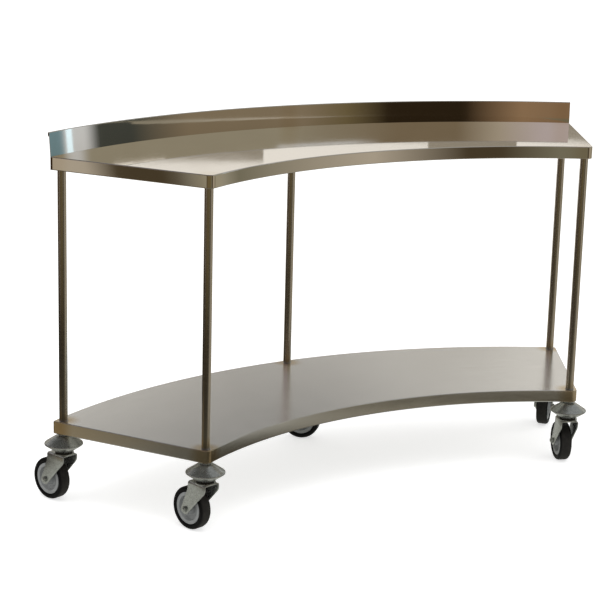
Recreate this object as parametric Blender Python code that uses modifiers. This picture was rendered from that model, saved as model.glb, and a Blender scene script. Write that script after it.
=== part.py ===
"""Curved instrument table: a worktop with a rear upstand, a lower shelf, five tube legs and five castors.

Metres, +Z up. The origin is on the floor, on the table's plane of symmetry.
+Y points to the convex rear side.
"""
import math

import bmesh
import bpy
from mathutils import Matrix, Vector

# Plan: both shelves are arcs about one centre, seen from above
OUTER_RADIUS = 1.430
INNER_RADIUS = 1.010
HALF_ARC = math.radians(31.4)
ARC_STEPS = 26

# Folded stainless sheet
SHEET = 0.0012
APRON_DEPTH = 0.030
LIP_WIDTH = 0.006
FOLD_RADIUS = 0.0015
SHELF_SPACING = 0.620
UPSTAND_HEIGHT = 0.055
HEM_DEPTH = 0.010
HEM_SPACE = 0.0014

# Stiffening channel, a hat section welded under each sheet
CHANNEL_WIDTH = 0.060
CHANNEL_DEPTH = 0.018
CHANNEL_FLANGE = 0.015
CHANNEL_END_SPACE = 0.050
CHANNEL_STEPS = 14

# Tube legs, which stand just inside the lips of the aprons
LEG_RADIUS = 0.010
LEG_WALL = 0.0012
LEG_SIDES = 16
LIP_CLEARANCE = 0.002

# Leg socket: a flange under the worktop with a plug in the leg's top
SOCKET_LEDGE = 0.0035
SOCKET_FLANGE = 0.0025
SOCKET_PLUG = 0.030
PLUG_CHAMFER = 0.001

# Wheel
WHEEL_RADIUS = 0.050
WHEEL_STEPS = 24
TYRE_WIDTH = 0.032
TYRE_THICKNESS = 0.0125
TYRE_SHOULDER = 0.005
HUB_BOSS_RADIUS = 0.013
HUB_WEB = 0.008
HUB_RIM_WIDTH = 0.026
HUB_RIM_THICKNESS = 0.008
HUB_DRAFT = 0.002
AXLE_RADIUS = 0.004
AXLE_PLAY = 0.0004
HEX_RADIUS = 0.0075
HEX_HEIGHT = 0.005
BOLT_POINT = 0.002
HEX_SIDES = 6

# Fork, pressed from one sheet: a crown with two cheeks
TRAIL = 0.043
FORK_SHEET = 0.0027
FORK_BEND = 0.004
FORK_SIDE_CLEARANCE = 0.0035
CROWN_CLEARANCE = 0.018
CROWN_RADIUS = 0.024
CROWN_RISE = 0.002
CROWN_FRONT = 0.022
CROWN_BACK = 0.034
CHEEK_SHOULDER = 0.014
AXLE_BOSS_RADIUS = 0.012
BOSS_STEPS = 6

# Swivel: race, discus-shaped cup and the stem that is both spigot and pin
RACE_RADIUS = 0.0205
RACE_WALL = 0.010
RACE_HEIGHT = 0.004
RACE_GROOVE = 0.001
CUP_RADIUS = 0.045
CUP_NECK_RADIUS = 0.018
CUP_BASE_RADIUS = 0.022
CUP_LOWER_HEIGHT = 0.016
CUP_EDGE_HEIGHT = 0.003
CUP_UPPER_HEIGHT = 0.018
CUP_EDGE_ROUND = 0.001
SWIVEL_STEPS = 16
STEM_SIDES = 12
PIN_RADIUS = 0.006
PIN_HEAD_RADIUS = 0.010
PIN_HEAD_HEIGHT = 0.003
STEM_SHOULDER_RADIUS = 0.0125
STEM_SHOULDER_HEIGHT = 0.0055
STEM_SPIGOT = 0.045

# Directions in which the castors trail at rest, from +X towards +Y
CASTOR_TURNS = {
    "rear_left": math.radians(108),
    "rear_middle": math.radians(-45),
    "rear_right": math.radians(-137),
    "front_left": math.radians(105),
    "front_right": math.radians(67),
}

# Space left between pieces that rest on each other or fit in each other
GAP = 0.0003
MERGE = 0.00005
SHARP_ANGLE = math.radians(35)
FOLD_ANGLE = math.radians(30)
CUT_MARGIN = 0.010

# Heights, from the floor up
CROWN_UNDER = 2 * WHEEL_RADIUS + CROWN_CLEARANCE
CHANNEL_TOP = CROWN_UNDER + FORK_SHEET
CROWN_TOP = CHANNEL_TOP + CROWN_RISE
RACE_BOTTOM = CROWN_TOP + GAP
RACE_TOP = RACE_BOTTOM + RACE_HEIGHT
CUP_BOTTOM = RACE_TOP + GAP
CUP_EDGE_BOTTOM = CUP_BOTTOM + CUP_LOWER_HEIGHT
CUP_EDGE_TOP = CUP_EDGE_BOTTOM + CUP_EDGE_HEIGHT
CUP_TOP = CUP_EDGE_TOP + CUP_UPPER_HEIGHT
STEM_SHOULDER_BOTTOM = CUP_TOP + GAP
STEM_SHOULDER_TOP = STEM_SHOULDER_BOTTOM + STEM_SHOULDER_HEIGHT
LEG_BOTTOM = STEM_SHOULDER_TOP + GAP
SHELF_HEIGHT = LEG_BOTTOM + APRON_DEPTH
WORK_HEIGHT = SHELF_HEIGHT + SHELF_SPACING
SOCKET_TOP = WORK_HEIGHT - SHEET - GAP
LEG_TOP = SOCKET_TOP - SOCKET_FLANGE - GAP

# Fits that follow from the sizes above
LEG_INSET = LIP_WIDTH + LIP_CLEARANCE + LEG_RADIUS
LEG_BORE = LEG_RADIUS - LEG_WALL
WORKTOP_OUTER = OUTER_RADIUS - SHEET - GAP
CHANNEL_RADIUS = (OUTER_RADIUS + INNER_RADIUS) / 2
FORK_HALF_WIDTH = TYRE_WIDTH / 2 + FORK_SIDE_CLEARANCE + FORK_SHEET
HUB_HALF_WIDTH = TYRE_WIDTH / 2 + FORK_SIDE_CLEARANCE - AXLE_PLAY
TYRE_INNER = WHEEL_RADIUS - TYRE_THICKNESS
HUB_OUTER = TYRE_INNER - GAP


def end_angle(radius):
    """The angle of a point at this radius that stands a leg's inset away from the shelf's end."""
    return HALF_ARC - math.asin(LEG_INSET / radius)


REAR_LEG_RADIUS = OUTER_RADIUS - LEG_INSET
FRONT_LEG_RADIUS = INNER_RADIUS + LEG_INSET
FRONT_LEG_REACH = FRONT_LEG_RADIUS * math.cos(end_angle(FRONT_LEG_RADIUS))
ARC_CENTRE_Y = -(REAR_LEG_RADIUS + FRONT_LEG_REACH) / 2


def arc_point(radius, angle, height):
    """A point on the plan. The angle runs from the table's middle towards its right end."""
    return Vector((radius * math.sin(angle), ARC_CENTRE_Y + radius * math.cos(angle), height))


LEG_SITES = {
    "rear_left": arc_point(REAR_LEG_RADIUS, -end_angle(REAR_LEG_RADIUS), 0),
    "rear_middle": arc_point(REAR_LEG_RADIUS, 0, 0),
    "rear_right": arc_point(REAR_LEG_RADIUS, end_angle(REAR_LEG_RADIUS), 0),
    "front_left": arc_point(FRONT_LEG_RADIUS, -end_angle(FRONT_LEG_RADIUS), 0),
    "front_right": arc_point(FRONT_LEG_RADIUS, end_angle(FRONT_LEG_RADIUS), 0),
}

for old in list(bpy.data.objects):
    bpy.data.objects.remove(old)


def new_collection(name):
    collection = bpy.data.collections.new(name)
    bpy.context.scene.collection.children.link(collection)
    return collection


PARTS = new_collection("curved_instrument_table")
CUTTERS = new_collection("cutters")


def finish(name, colour, metallic, roughness):
    material = bpy.data.materials.new(name)
    material.use_nodes = True
    shader = material.node_tree.nodes["Principled BSDF"]
    shader.inputs["Base Color"].default_value = (*colour, 1)
    shader.inputs["Metallic"].default_value = metallic
    shader.inputs["Roughness"].default_value = roughness
    return material


POLISHED_SHEET = finish("polished stainless sheet", (0.60, 0.57, 0.53), 1, 0.16)
SATIN_SHEET = finish("satin stainless sheet", (0.57, 0.54, 0.51), 1, 0.30)
LEG_STEEL = finish("stainless tube", (0.52, 0.49, 0.44), 1, 0.24)
ZINC_STEEL = finish("zinc plated steel", (0.60, 0.62, 0.63), 1, 0.36)
RACE_STEEL = finish("greased race steel", (0.06, 0.06, 0.06), 0.6, 0.45)
HUB_PLASTIC = finish("grey wheel centre", (0.36, 0.37, 0.37), 0, 0.50)
TYRE_RUBBER = finish("black rubber", (0.018, 0.018, 0.019), 0, 0.62)


def place(name, mesh, material, parent=None, location=(0, 0, 0)):
    """Adds one named piece, which may share its mesh with its copies."""
    if not mesh.materials:
        mesh.materials.append(material)
    piece = bpy.data.objects.new(name, mesh)
    piece.location = location
    piece.parent = parent
    PARTS.objects.link(piece)
    return piece


def axis_empty(name, location, rotation, parent=None):
    """An empty on a joint's axis, which carries the pieces that turn there."""
    empty = bpy.data.objects.new(name, None)
    empty.location = location
    empty.rotation_euler = rotation
    empty.parent = parent
    PARTS.objects.link(empty)
    return empty


def cutter(name, mesh, location=(0, 0, 0), rotation=(0, 0, 0)):
    tool = bpy.data.objects.new(name, mesh)
    tool.location = location
    tool.rotation_euler = rotation
    tool.hide_render = True
    tool.display_type = "WIRE"
    CUTTERS.objects.link(tool)
    return tool


def combine(piece, tool, operation):
    step = piece.modifiers.new(operation.lower(), "BOOLEAN")
    step.operation = operation
    step.solver = "EXACT"
    step.object = tool


def baked(piece):
    """The piece's mesh with its modifiers applied, shaded smooth between sharp edges."""
    depsgraph = bpy.context.evaluated_depsgraph_get()
    mesh = bpy.data.meshes.new_from_object(piece.evaluated_get(depsgraph))
    mesh.name = piece.name
    bpy.data.objects.remove(piece)
    mesh.shade_smooth()
    mesh.set_sharp_from_angle(angle=SHARP_ANGLE)
    return mesh


def as_mesh(name, work):
    mesh = bpy.data.meshes.new(name)
    work.to_mesh(mesh)
    work.free()
    return mesh


def draft_piece(name, mesh):
    """A piece that is still being shaped and has no material yet."""
    piece = bpy.data.objects.new(name, mesh)
    PARTS.objects.link(piece)
    return piece


def profile_mesh(name, profile, closed):
    """A chain of edges through (radius, height) points in the XZ plane."""
    work = bmesh.new()
    points = [work.verts.new((radius, 0, height)) for radius, height in profile]
    for first, second in zip(points, points[1:]):
        work.edges.new((first, second))
    if closed:
        work.edges.new((points[-1], points[0]))
    return as_mesh(name, work)


def turned(name, profile, steps, closed=True):
    """A profile turned right round the Z axis. It runs down the outer side."""
    piece = draft_piece(name, profile_mesh(name, profile, closed))
    screw = piece.modifiers.new("turn", "SCREW")
    screw.steps = steps
    screw.render_steps = steps
    screw.use_merge_vertices = True
    screw.merge_threshold = MERGE
    return baked(piece)


def rolled_strip(name, profile, half_angle, steps):
    """An open profile of sheet swept along the table's arc, to both sides of its middle."""
    piece = draft_piece(name, profile_mesh(name, profile, False))
    screw = piece.modifiers.new("sweep", "SCREW")
    screw.angle = 2 * half_angle
    screw.steps = steps
    screw.render_steps = steps
    add_sheet(piece, SHEET, 0)
    return baked(piece)


def add_sheet(piece, thickness, offset):
    shell = piece.modifiers.new("sheet", "SOLIDIFY")
    shell.thickness = thickness
    shell.offset = offset
    shell.use_even_offset = True
    shell.use_quality_normals = True


def add_folds(piece, radius):
    bevel = piece.modifiers.new("folds", "BEVEL")
    bevel.width = radius
    bevel.segments = 1
    bevel.limit_method = "ANGLE"
    bevel.angle_limit = FOLD_ANGLE


def rod(name, radius, length, sides):
    """A solid round or many-sided bar along Z, centred on its origin."""
    work = bmesh.new()
    bmesh.ops.create_cone(work, cap_ends=True, segments=sides, radius1=radius, radius2=radius, depth=length)
    return as_mesh(name, work)


def flat_outline(name, points, thickness):
    """A closed outline in the XY plane, filled and given a thickness along Z."""
    curve = bpy.data.curves.new(name, "CURVE")
    curve.dimensions = "2D"
    curve.fill_mode = "BOTH"
    curve.extrude = thickness / 2
    spline = curve.splines.new("POLY")
    spline.points.add(len(points) - 1)
    for point, (x, y) in zip(spline.points, points):
        point.co = (x, y, 0, 1)
    spline.use_cyclic_u = True
    drawn = draft_piece(name, curve)
    mesh = bpy.data.meshes.new_from_object(drawn.evaluated_get(bpy.context.evaluated_depsgraph_get()))
    bpy.data.objects.remove(drawn)
    work = bmesh.new()
    work.from_mesh(mesh)
    bmesh.ops.remove_doubles(work, verts=work.verts, dist=MERGE)
    bmesh.ops.recalc_face_normals(work, faces=work.faces)
    work.to_mesh(mesh)
    work.free()
    return mesh


def inset_point(corner, outer, distance):
    """The plan point moved in from every edge of the shelf that is nearer than the distance."""
    across, along = corner.x, corner.y - ARC_CENTRE_Y
    radius = min(max(math.hypot(across, along), INNER_RADIUS + distance), outer - distance)
    limit = HALF_ARC - math.asin(distance / radius)
    angle = min(max(math.atan2(across, along), -limit), limit)
    return arc_point(radius, angle, corner.z)


def folded_tray(name, outer, surface):
    """A curved sheet with aprons turned down all round, and a narrow lip turned in under the aprons."""
    work = bmesh.new()
    bmesh.ops.create_grid(work, x_segments=ARC_STEPS, y_segments=1, size=1)
    for vertex in work.verts:
        radius = outer if vertex.co.y > 0 else INNER_RADIUS
        vertex.co = arc_point(radius, vertex.co.x * HALF_ARC, surface)
    for fold in ("apron", "lip"):
        rim = [edge for edge in work.edges if edge.is_boundary]
        turned_down = bmesh.ops.extrude_edge_only(work, edges=rim)["geom"]
        for vertex in (item for item in turned_down if isinstance(item, bmesh.types.BMVert)):
            if fold == "apron":
                vertex.co.z -= APRON_DEPTH
            else:
                vertex.co = inset_point(vertex.co, outer, LIP_WIDTH)
    bmesh.ops.recalc_face_normals(work, faces=work.faces)
    top = max(work.faces, key=lambda face: face.calc_center_median().z)
    if top.normal.z < 0:
        bmesh.ops.reverse_faces(work, faces=work.faces)
    piece = draft_piece(name, as_mesh(name, work))
    add_folds(piece, FOLD_RADIUS)
    add_sheet(piece, SHEET, -1)
    return piece


def on_table_arc(piece, half_angle):
    """Turns a swept strip so that it lies evenly to both sides of the table's middle."""
    piece.location = (0, ARC_CENTRE_Y, 0)
    piece.rotation_euler.z = math.pi / 2 - half_angle


def make_worktop():
    tray = folded_tray("worktop_draft", WORKTOP_OUTER, WORK_HEIGHT)
    place("worktop_sheet", baked(tray), POLISHED_SHEET)


def make_upstand():
    middle = OUTER_RADIUS - SHEET / 2
    hem = middle + SHEET + HEM_SPACE
    top = WORK_HEIGHT + UPSTAND_HEIGHT - SHEET / 2
    profile = [(middle, WORK_HEIGHT - APRON_DEPTH), (middle, top), (hem, top), (hem, top - HEM_DEPTH)]
    strip = rolled_strip("rear_upstand", profile, HALF_ARC, ARC_STEPS)
    on_table_arc(place("rear_upstand", strip, POLISHED_SHEET), HALF_ARC)


def make_lower_shelf():
    tray = folded_tray("shelf_draft", OUTER_RADIUS, SHELF_HEIGHT)
    hole = rod("leg_hole", LEG_RADIUS + GAP, 2 * CUT_MARGIN, LEG_SIDES)
    for site, foot in LEG_SITES.items():
        combine(tray, cutter("leg_hole_" + site, hole, (foot.x, foot.y, SHELF_HEIGHT)), "DIFFERENCE")
    place("lower_shelf", baked(tray), SATIN_SHEET)


def make_stiffener(name, surface):
    """A hat-section channel under a sheet, which stops short of the sheet's ends."""
    flange_height = surface - SHEET - GAP - SHEET / 2
    foot_height = flange_height - CHANNEL_DEPTH
    inner, outer = CHANNEL_RADIUS - CHANNEL_WIDTH / 2, CHANNEL_RADIUS + CHANNEL_WIDTH / 2
    profile = [
        (inner - CHANNEL_FLANGE, flange_height),
        (inner, flange_height),
        (inner, foot_height),
        (outer, foot_height),
        (outer, flange_height),
        (outer + CHANNEL_FLANGE, flange_height),
    ]
    half_angle = HALF_ARC - math.asin(CHANNEL_END_SPACE / CHANNEL_RADIUS)
    strip = rolled_strip(name, profile, half_angle, CHANNEL_STEPS)
    on_table_arc(place(name, strip, SATIN_SHEET), half_angle)


def leg_mesh():
    profile = [(LEG_RADIUS, LEG_TOP), (LEG_RADIUS, LEG_BOTTOM), (LEG_BORE, LEG_BOTTOM), (LEG_BORE, LEG_TOP)]
    return turned("leg", profile, LEG_SIDES)


def socket_mesh():
    flange, plug = LEG_RADIUS + SOCKET_LEDGE, LEG_BORE - GAP
    flange_bottom = SOCKET_TOP - SOCKET_FLANGE
    plug_bottom = flange_bottom - SOCKET_PLUG
    profile = [
        (0, SOCKET_TOP),
        (flange, SOCKET_TOP),
        (flange, flange_bottom),
        (plug, flange_bottom),
        (plug, plug_bottom + PLUG_CHAMFER),
        (plug - PLUG_CHAMFER, plug_bottom),
        (0, plug_bottom),
    ]
    return turned("socket", profile, STEM_SIDES, closed=False)


def stem_mesh():
    """Spigot in the leg, shoulder under the leg's end, then the swivel pin with its riveted head."""
    spigot, top = LEG_BORE - GAP, STEM_SHOULDER_TOP + STEM_SPIGOT
    head_top = CROWN_UNDER - GAP
    profile = [
        (0, top),
        (spigot - PLUG_CHAMFER, top),
        (spigot, top - PLUG_CHAMFER),
        (spigot, STEM_SHOULDER_TOP),
        (STEM_SHOULDER_RADIUS, STEM_SHOULDER_TOP),
        (STEM_SHOULDER_RADIUS, STEM_SHOULDER_BOTTOM),
        (PIN_RADIUS, STEM_SHOULDER_BOTTOM),
        (PIN_RADIUS, head_top),
        (PIN_HEAD_RADIUS, head_top),
        (PIN_HEAD_RADIUS, head_top - PIN_HEAD_HEIGHT),
        (0, head_top - PIN_HEAD_HEIGHT),
    ]
    return turned("stem", profile, STEM_SIDES, closed=False)


def cup_mesh():
    """The discus: a shallow cone above a narrow edge, and a deeper cone below it."""
    bore, edge = PIN_RADIUS + GAP, CUP_RADIUS - CUP_EDGE_ROUND
    profile = [
        (bore, CUP_TOP),
        (CUP_NECK_RADIUS, CUP_TOP),
        (edge, CUP_EDGE_TOP),
        (CUP_RADIUS, CUP_EDGE_TOP - CUP_EDGE_ROUND),
        (CUP_RADIUS, CUP_EDGE_BOTTOM + CUP_EDGE_ROUND),
        (edge, CUP_EDGE_BOTTOM),
        (CUP_BASE_RADIUS, CUP_BOTTOM),
        (bore, CUP_BOTTOM),
    ]
    return turned("cup", profile, SWIVEL_STEPS)


def race_mesh():
    """The ball race's ring, with a shallow groove round its outside."""
    inner, middle = RACE_RADIUS - RACE_WALL, (RACE_BOTTOM + RACE_TOP) / 2
    profile = [
        (inner, RACE_TOP),
        (RACE_RADIUS, RACE_TOP),
        (RACE_RADIUS - RACE_GROOVE, middle),
        (RACE_RADIUS, RACE_BOTTOM),
        (inner, RACE_BOTTOM),
    ]
    return turned("race", profile, SWIVEL_STEPS)


def tangent_angle(point, centre, radius, side):
    """The angle where a line from an outside point touches a circle. The side is +1 or -1."""
    reach = Vector(point) - Vector(centre)
    return math.atan2(reach.y, reach.x) + side * math.acos(radius / reach.length)


def cheek_outline():
    """The fork from the side: upright under the crown, then tapering to the round boss at the axle."""
    top = CROWN_TOP + CUT_MARGIN
    shoulder = CROWN_UNDER - CHEEK_SHOULDER
    axle = (TRAIL, WHEEL_RADIUS)
    front, back = (-CROWN_FRONT, shoulder), (CROWN_BACK, shoulder)
    first = tangent_angle(front, axle, AXLE_BOSS_RADIUS, 1)
    last = tangent_angle(back, axle, AXLE_BOSS_RADIUS, -1)
    sweep = (last - first) % (2 * math.pi)
    boss = []
    for step in range(BOSS_STEPS + 1):
        angle = first + sweep * step / BOSS_STEPS
        along = TRAIL + AXLE_BOSS_RADIUS * math.cos(angle)
        height = WHEEL_RADIUS + AXLE_BOSS_RADIUS * math.sin(angle)
        boss.append((along, height))
    return [(-CROWN_FRONT, top), front, *boss, back, (CROWN_BACK, top)]


def fork_mesh():
    """A channel folded from sheet, trimmed to the cheeks, with a round crown and two holes."""
    middle, top = FORK_HALF_WIDTH - FORK_SHEET / 2, CHANNEL_TOP - FORK_SHEET / 2
    low = WHEEL_RADIUS - AXLE_BOSS_RADIUS - CUT_MARGIN
    front = -CROWN_FRONT - CUT_MARGIN
    back = max(TRAIL + AXLE_BOSS_RADIUS, CROWN_BACK) + CUT_MARGIN
    work = bmesh.new()
    corners = ((-middle, low), (-middle, top), (middle, top), (middle, low))
    section = [work.verts.new((front, y, z)) for y, z in corners]
    edges = [work.edges.new(pair) for pair in zip(section, section[1:])]
    drawn = bmesh.ops.extrude_edge_only(work, edges=edges)["geom"]
    for vertex in (item for item in drawn if isinstance(item, bmesh.types.BMVert)):
        vertex.co.x = back
    piece = draft_piece("fork_draft", as_mesh("fork_draft", work))
    add_folds(piece, FORK_BEND)
    add_sheet(piece, FORK_SHEET, 0)
    upright, across = (math.pi / 2, 0, 0), 2 * (FORK_HALF_WIDTH + CUT_MARGIN)
    outline = flat_outline("cheek_outline", cheek_outline(), across)
    combine(piece, cutter("cheek_trim", outline, rotation=upright), "INTERSECT")
    crown_height = CROWN_RISE + FORK_SHEET / 2
    crown = rod("crown", CROWN_RADIUS, crown_height, SWIVEL_STEPS)
    combine(piece, cutter("crown_disc", crown, (0, 0, CROWN_TOP - crown_height / 2)), "UNION")
    pin_hole = rod("pin_hole", PIN_RADIUS + GAP, 2 * (CROWN_RISE + FORK_SHEET + CUT_MARGIN), STEM_SIDES)
    combine(piece, cutter("pin_hole", pin_hole, (0, 0, CROWN_TOP)), "DIFFERENCE")
    axle_hole = rod("axle_hole", AXLE_RADIUS + GAP, across, STEM_SIDES)
    combine(piece, cutter("axle_hole", axle_hole, (TRAIL, 0, WHEEL_RADIUS), upright), "DIFFERENCE")
    return baked(piece)


def bolt_mesh():
    """A hexagon-headed bolt along Z, with its head outside the fork's upper cheek."""
    seat = FORK_HALF_WIDTH + GAP
    tip = -(seat + HEX_HEIGHT + BOLT_POINT)
    length = seat + HEX_HEIGHT / 2 - tip
    head = draft_piece("bolt_draft", rod("bolt_head", HEX_RADIUS, HEX_HEIGHT, HEX_SIDES))
    head.data.transform(Matrix.Translation((0, 0, seat + HEX_HEIGHT / 2)))
    shank = rod("bolt_shank", AXLE_RADIUS, length, STEM_SIDES)
    combine(head, cutter("bolt_shank", shank, (0, 0, tip + length / 2)), "UNION")
    return baked(head)


def nut_mesh():
    nut = draft_piece("nut_draft", rod("nut", HEX_RADIUS, HEX_HEIGHT, HEX_SIDES))
    bore = cutter("nut_bore", rod("nut_bore", AXLE_RADIUS + GAP, 2 * HEX_HEIGHT, STEM_SIDES))
    combine(nut, bore, "DIFFERENCE")
    return baked(nut)


def hub_mesh():
    """The moulded wheel centre: boss, thin web and rim, the same on both sides."""
    bore, web, rim = AXLE_RADIUS + GAP, HUB_WEB / 2, HUB_RIM_WIDTH / 2
    rim_inner = HUB_OUTER - HUB_RIM_THICKNESS
    upper = [
        (bore, HUB_HALF_WIDTH),
        (HUB_BOSS_RADIUS, HUB_HALF_WIDTH),
        (HUB_BOSS_RADIUS + HUB_DRAFT, web),
        (rim_inner - HUB_DRAFT, web),
        (rim_inner, rim),
        (HUB_OUTER, rim),
    ]
    lower = [(radius, -height) for radius, height in reversed(upper)]
    return turned("hub", upper + lower, WHEEL_STEPS)


def tyre_mesh():
    """The tread's flats touch the floor, so its corners lie a little outside the wheel's radius."""
    tread = WHEEL_RADIUS / math.cos(math.pi / WHEEL_STEPS)
    side, crown = TYRE_WIDTH / 2, TYRE_WIDTH / 2 - TYRE_SHOULDER
    upper = [(TYRE_INNER, side - TYRE_SHOULDER / 2), (tread - TYRE_SHOULDER, side), (tread, crown)]
    lower = [(radius, -height) for radius, height in reversed(upper)]
    return turned("tyre", upper + lower, WHEEL_STEPS)


def make_legs_and_castors():
    leg, socket, stem, cup, race = leg_mesh(), socket_mesh(), stem_mesh(), cup_mesh(), race_mesh()
    fork, bolt, nut, hub, tyre = fork_mesh(), bolt_mesh(), nut_mesh(), hub_mesh(), tyre_mesh()
    nut_place = -(FORK_HALF_WIDTH + GAP + HEX_HEIGHT / 2)
    flat_down = math.pi / WHEEL_STEPS
    for site, foot in LEG_SITES.items():
        place("leg_" + site, leg, LEG_STEEL, location=foot)
        place("socket_" + site, socket, ZINC_STEEL, location=foot)
        place("stem_" + site, stem, ZINC_STEEL, location=foot)
        place("cup_" + site, cup, ZINC_STEEL, location=foot)
        swivel = axis_empty("swivel_axis_" + site, foot, (0, 0, CASTOR_TURNS[site]))
        place("race_" + site, race, RACE_STEEL, swivel)
        place("fork_" + site, fork, ZINC_STEEL, swivel)
        axle = axis_empty("axle_axis_" + site, (TRAIL, 0, WHEEL_RADIUS), (math.pi / 2, 0, 0), swivel)
        place("axle_bolt_" + site, bolt, ZINC_STEEL, axle)
        place("axle_nut_" + site, nut, ZINC_STEEL, axle, (0, 0, nut_place))
        place("hub_" + site, hub, HUB_PLASTIC, axle).rotation_euler.z = flat_down
        place("tyre_" + site, tyre, TYRE_RUBBER, axle).rotation_euler.z = flat_down


make_worktop()
make_upstand()
make_lower_shelf()
make_stiffener("worktop_stiffener", WORK_HEIGHT)
make_stiffener("shelf_stiffener", SHELF_HEIGHT)
make_legs_and_castors()
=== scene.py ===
# %% [markdown]
# # A curved instrument table in stainless steel
# The table stands beside an operating table: an arc-shaped worktop with a raised rim along its
# outer edge, a shelf of the same plan, five thin tube legs and five castors. A measured model
# gives every size and every joint. It could be shown as it is, but its arcs are coarse facets.
# So it is loaded as a fixed frame, and finely made pieces with real finishes are put on it.

# %% Load the measured model
import math
from functools import partial

import bmesh
import bpy
from mathutils import Matrix, Vector


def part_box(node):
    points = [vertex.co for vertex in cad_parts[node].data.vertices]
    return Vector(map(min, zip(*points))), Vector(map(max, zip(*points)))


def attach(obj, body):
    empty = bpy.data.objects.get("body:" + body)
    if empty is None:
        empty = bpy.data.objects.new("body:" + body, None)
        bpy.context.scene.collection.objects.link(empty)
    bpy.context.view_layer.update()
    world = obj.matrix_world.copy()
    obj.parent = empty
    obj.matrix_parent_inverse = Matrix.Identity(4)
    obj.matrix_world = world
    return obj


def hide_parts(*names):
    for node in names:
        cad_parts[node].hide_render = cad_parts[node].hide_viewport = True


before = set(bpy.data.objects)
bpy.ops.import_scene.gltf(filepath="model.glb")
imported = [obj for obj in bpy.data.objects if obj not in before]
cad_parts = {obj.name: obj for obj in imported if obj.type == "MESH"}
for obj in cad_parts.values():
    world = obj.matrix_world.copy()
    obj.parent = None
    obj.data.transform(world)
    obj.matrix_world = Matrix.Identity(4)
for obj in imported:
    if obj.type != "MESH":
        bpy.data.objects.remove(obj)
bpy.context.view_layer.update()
SITES = ("rear_left", "rear_middle", "rear_right", "front_left", "front_right")

# %% [markdown]
# ## Camera
# The picture was taken with a long lens from the front left, a little above the worktop. The
# camera could be set by eye, but its place was worked out from the table's edges, so it is typed
# in: where it stands, which way it looks, and a slight tilt of the whole picture.

# %% Set up the camera
LENS = 104.9
SENSOR = 36
CAMERA_PLACE = (-2.2731, -3.5341, 1.4574)
HEADING = math.radians(31.298)
PITCH_DOWN = math.radians(13.809)
PICTURE_TILT = math.radians(1.478)

bpy.ops.object.camera_add(location=CAMERA_PLACE)
camera = bpy.context.object
camera.name = "photo_camera"
camera.data.lens = LENS
camera.data.sensor_width = SENSOR
turn = Matrix.Rotation(-HEADING, 4, "Z") @ Matrix.Rotation(math.pi / 2 - PITCH_DOWN, 4, "X")
camera.matrix_world = Matrix.Translation(CAMERA_PLACE) @ turn @ Matrix.Rotation(PICTURE_TILT, 4, "Z")
bpy.context.scene.camera = camera
bpy.context.scene.view_settings.view_transform = "Standard"
print("camera at", CAMERA_PLACE)

# %% [markdown]
# ## Helpers for modelling by hand
# Operators act on whatever is selected, so each piece starts with nothing selected. Faces and
# edges are then picked in code by where they are, as one would click them on the screen.

# %% Helpers for selecting and finishing
MERGE = 0.00001
SMOOTH_ANGLE = math.radians(35)
ROUND_STEPS = 48


def edit_all():
    """Goes into edit mode, if need be, and selects everything there."""
    bpy.ops.object.mode_set(mode="EDIT")
    bpy.ops.mesh.select_all(action="SELECT")


def leave_edit():
    """Goes back to object mode."""
    bpy.ops.object.mode_set(mode="OBJECT")


def clear_selection():
    """Leaves edit mode and deselects everything."""
    if bpy.context.mode != "OBJECT":
        leave_edit()
    bpy.ops.object.select_all(action="DESELECT")


def choose(piece):
    """Makes one piece the only selected and active one."""
    clear_selection()
    piece.select_set(True)
    bpy.context.view_layer.objects.active = piece


def pick(kind, test):
    """In edit mode, selects the vertices, edges or faces for which the test holds."""
    bpy.ops.mesh.select_mode(type=kind)
    bpy.ops.mesh.select_all(action="DESELECT")
    data = bpy.context.edit_object.data
    work = bmesh.from_edit_mesh(data)
    items = {"VERT": work.verts, "EDGE": work.edges, "FACE": work.faces}[kind]
    for item in [item for item in items if test(item)]:
        item.select_set(True)
    bmesh.update_edit_mesh(data)


def apply_modifier(piece, kind, **settings):
    """Adds a modifier with its settings and applies it at once."""
    choose(piece)
    step = piece.modifiers.new(kind.lower(), kind)
    for key, value in settings.items():
        setattr(step, key, value)
    bpy.ops.object.modifier_apply(modifier=step.name)


def round_edges(piece, width, segments=3, angle=30):
    """Rounds every edge that is sharper than the angle."""
    apply_modifier(piece, "BEVEL", width=width, segments=segments, limit_method="ANGLE",
                   angle_limit=math.radians(angle))


def finish_piece(piece, name, weighted=False):
    """Puts the piece's place into its mesh, merges its seams, shades it smooth and names it."""
    choose(piece)
    bpy.ops.object.transform_apply()
    edit_all()
    bpy.ops.mesh.remove_doubles(threshold=MERGE)
    leave_edit()
    bpy.ops.object.shade_smooth_by_angle(angle=SMOOTH_ANGLE)
    if weighted:
        apply_modifier(piece, "WEIGHTED_NORMAL", keep_sharp=True)
    piece.name = piece.data.name = name
    return piece


def cylinder(radius, depth, place, tilt=0, sides=ROUND_STEPS):
    """A cylinder round its place, upright or tilted about the X axis."""
    clear_selection()
    bpy.ops.mesh.primitive_cylinder_add(vertices=sides, radius=radius, depth=depth, location=place,
                                        rotation=(tilt, 0, 0))
    return bpy.context.object


def cut(piece, tool, operation="DIFFERENCE"):
    """Cuts or joins a piece with a tool, which is then thrown away."""
    apply_modifier(piece, "BOOLEAN", object=tool, operation=operation, solver="EXACT")
    bpy.data.objects.remove(tool)


def heights(node):
    """The lowest and the highest point of a measured node."""
    return [corner.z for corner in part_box(node)]


print("points closer than", MERGE, "m are merged")

# %% [markdown]
# ## Turning and sweeping
# Cups, races, hubs, tyres and legs are round, and the rim and the channels follow the table's arc.
# Both kinds could be built ring by ring. It is simpler to draw half a section vertex by vertex,
# with one extrude for each step, and to spin it: right round for a turned piece, or through the
# table's angle about the arc's centre for a rolled strip.

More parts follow.
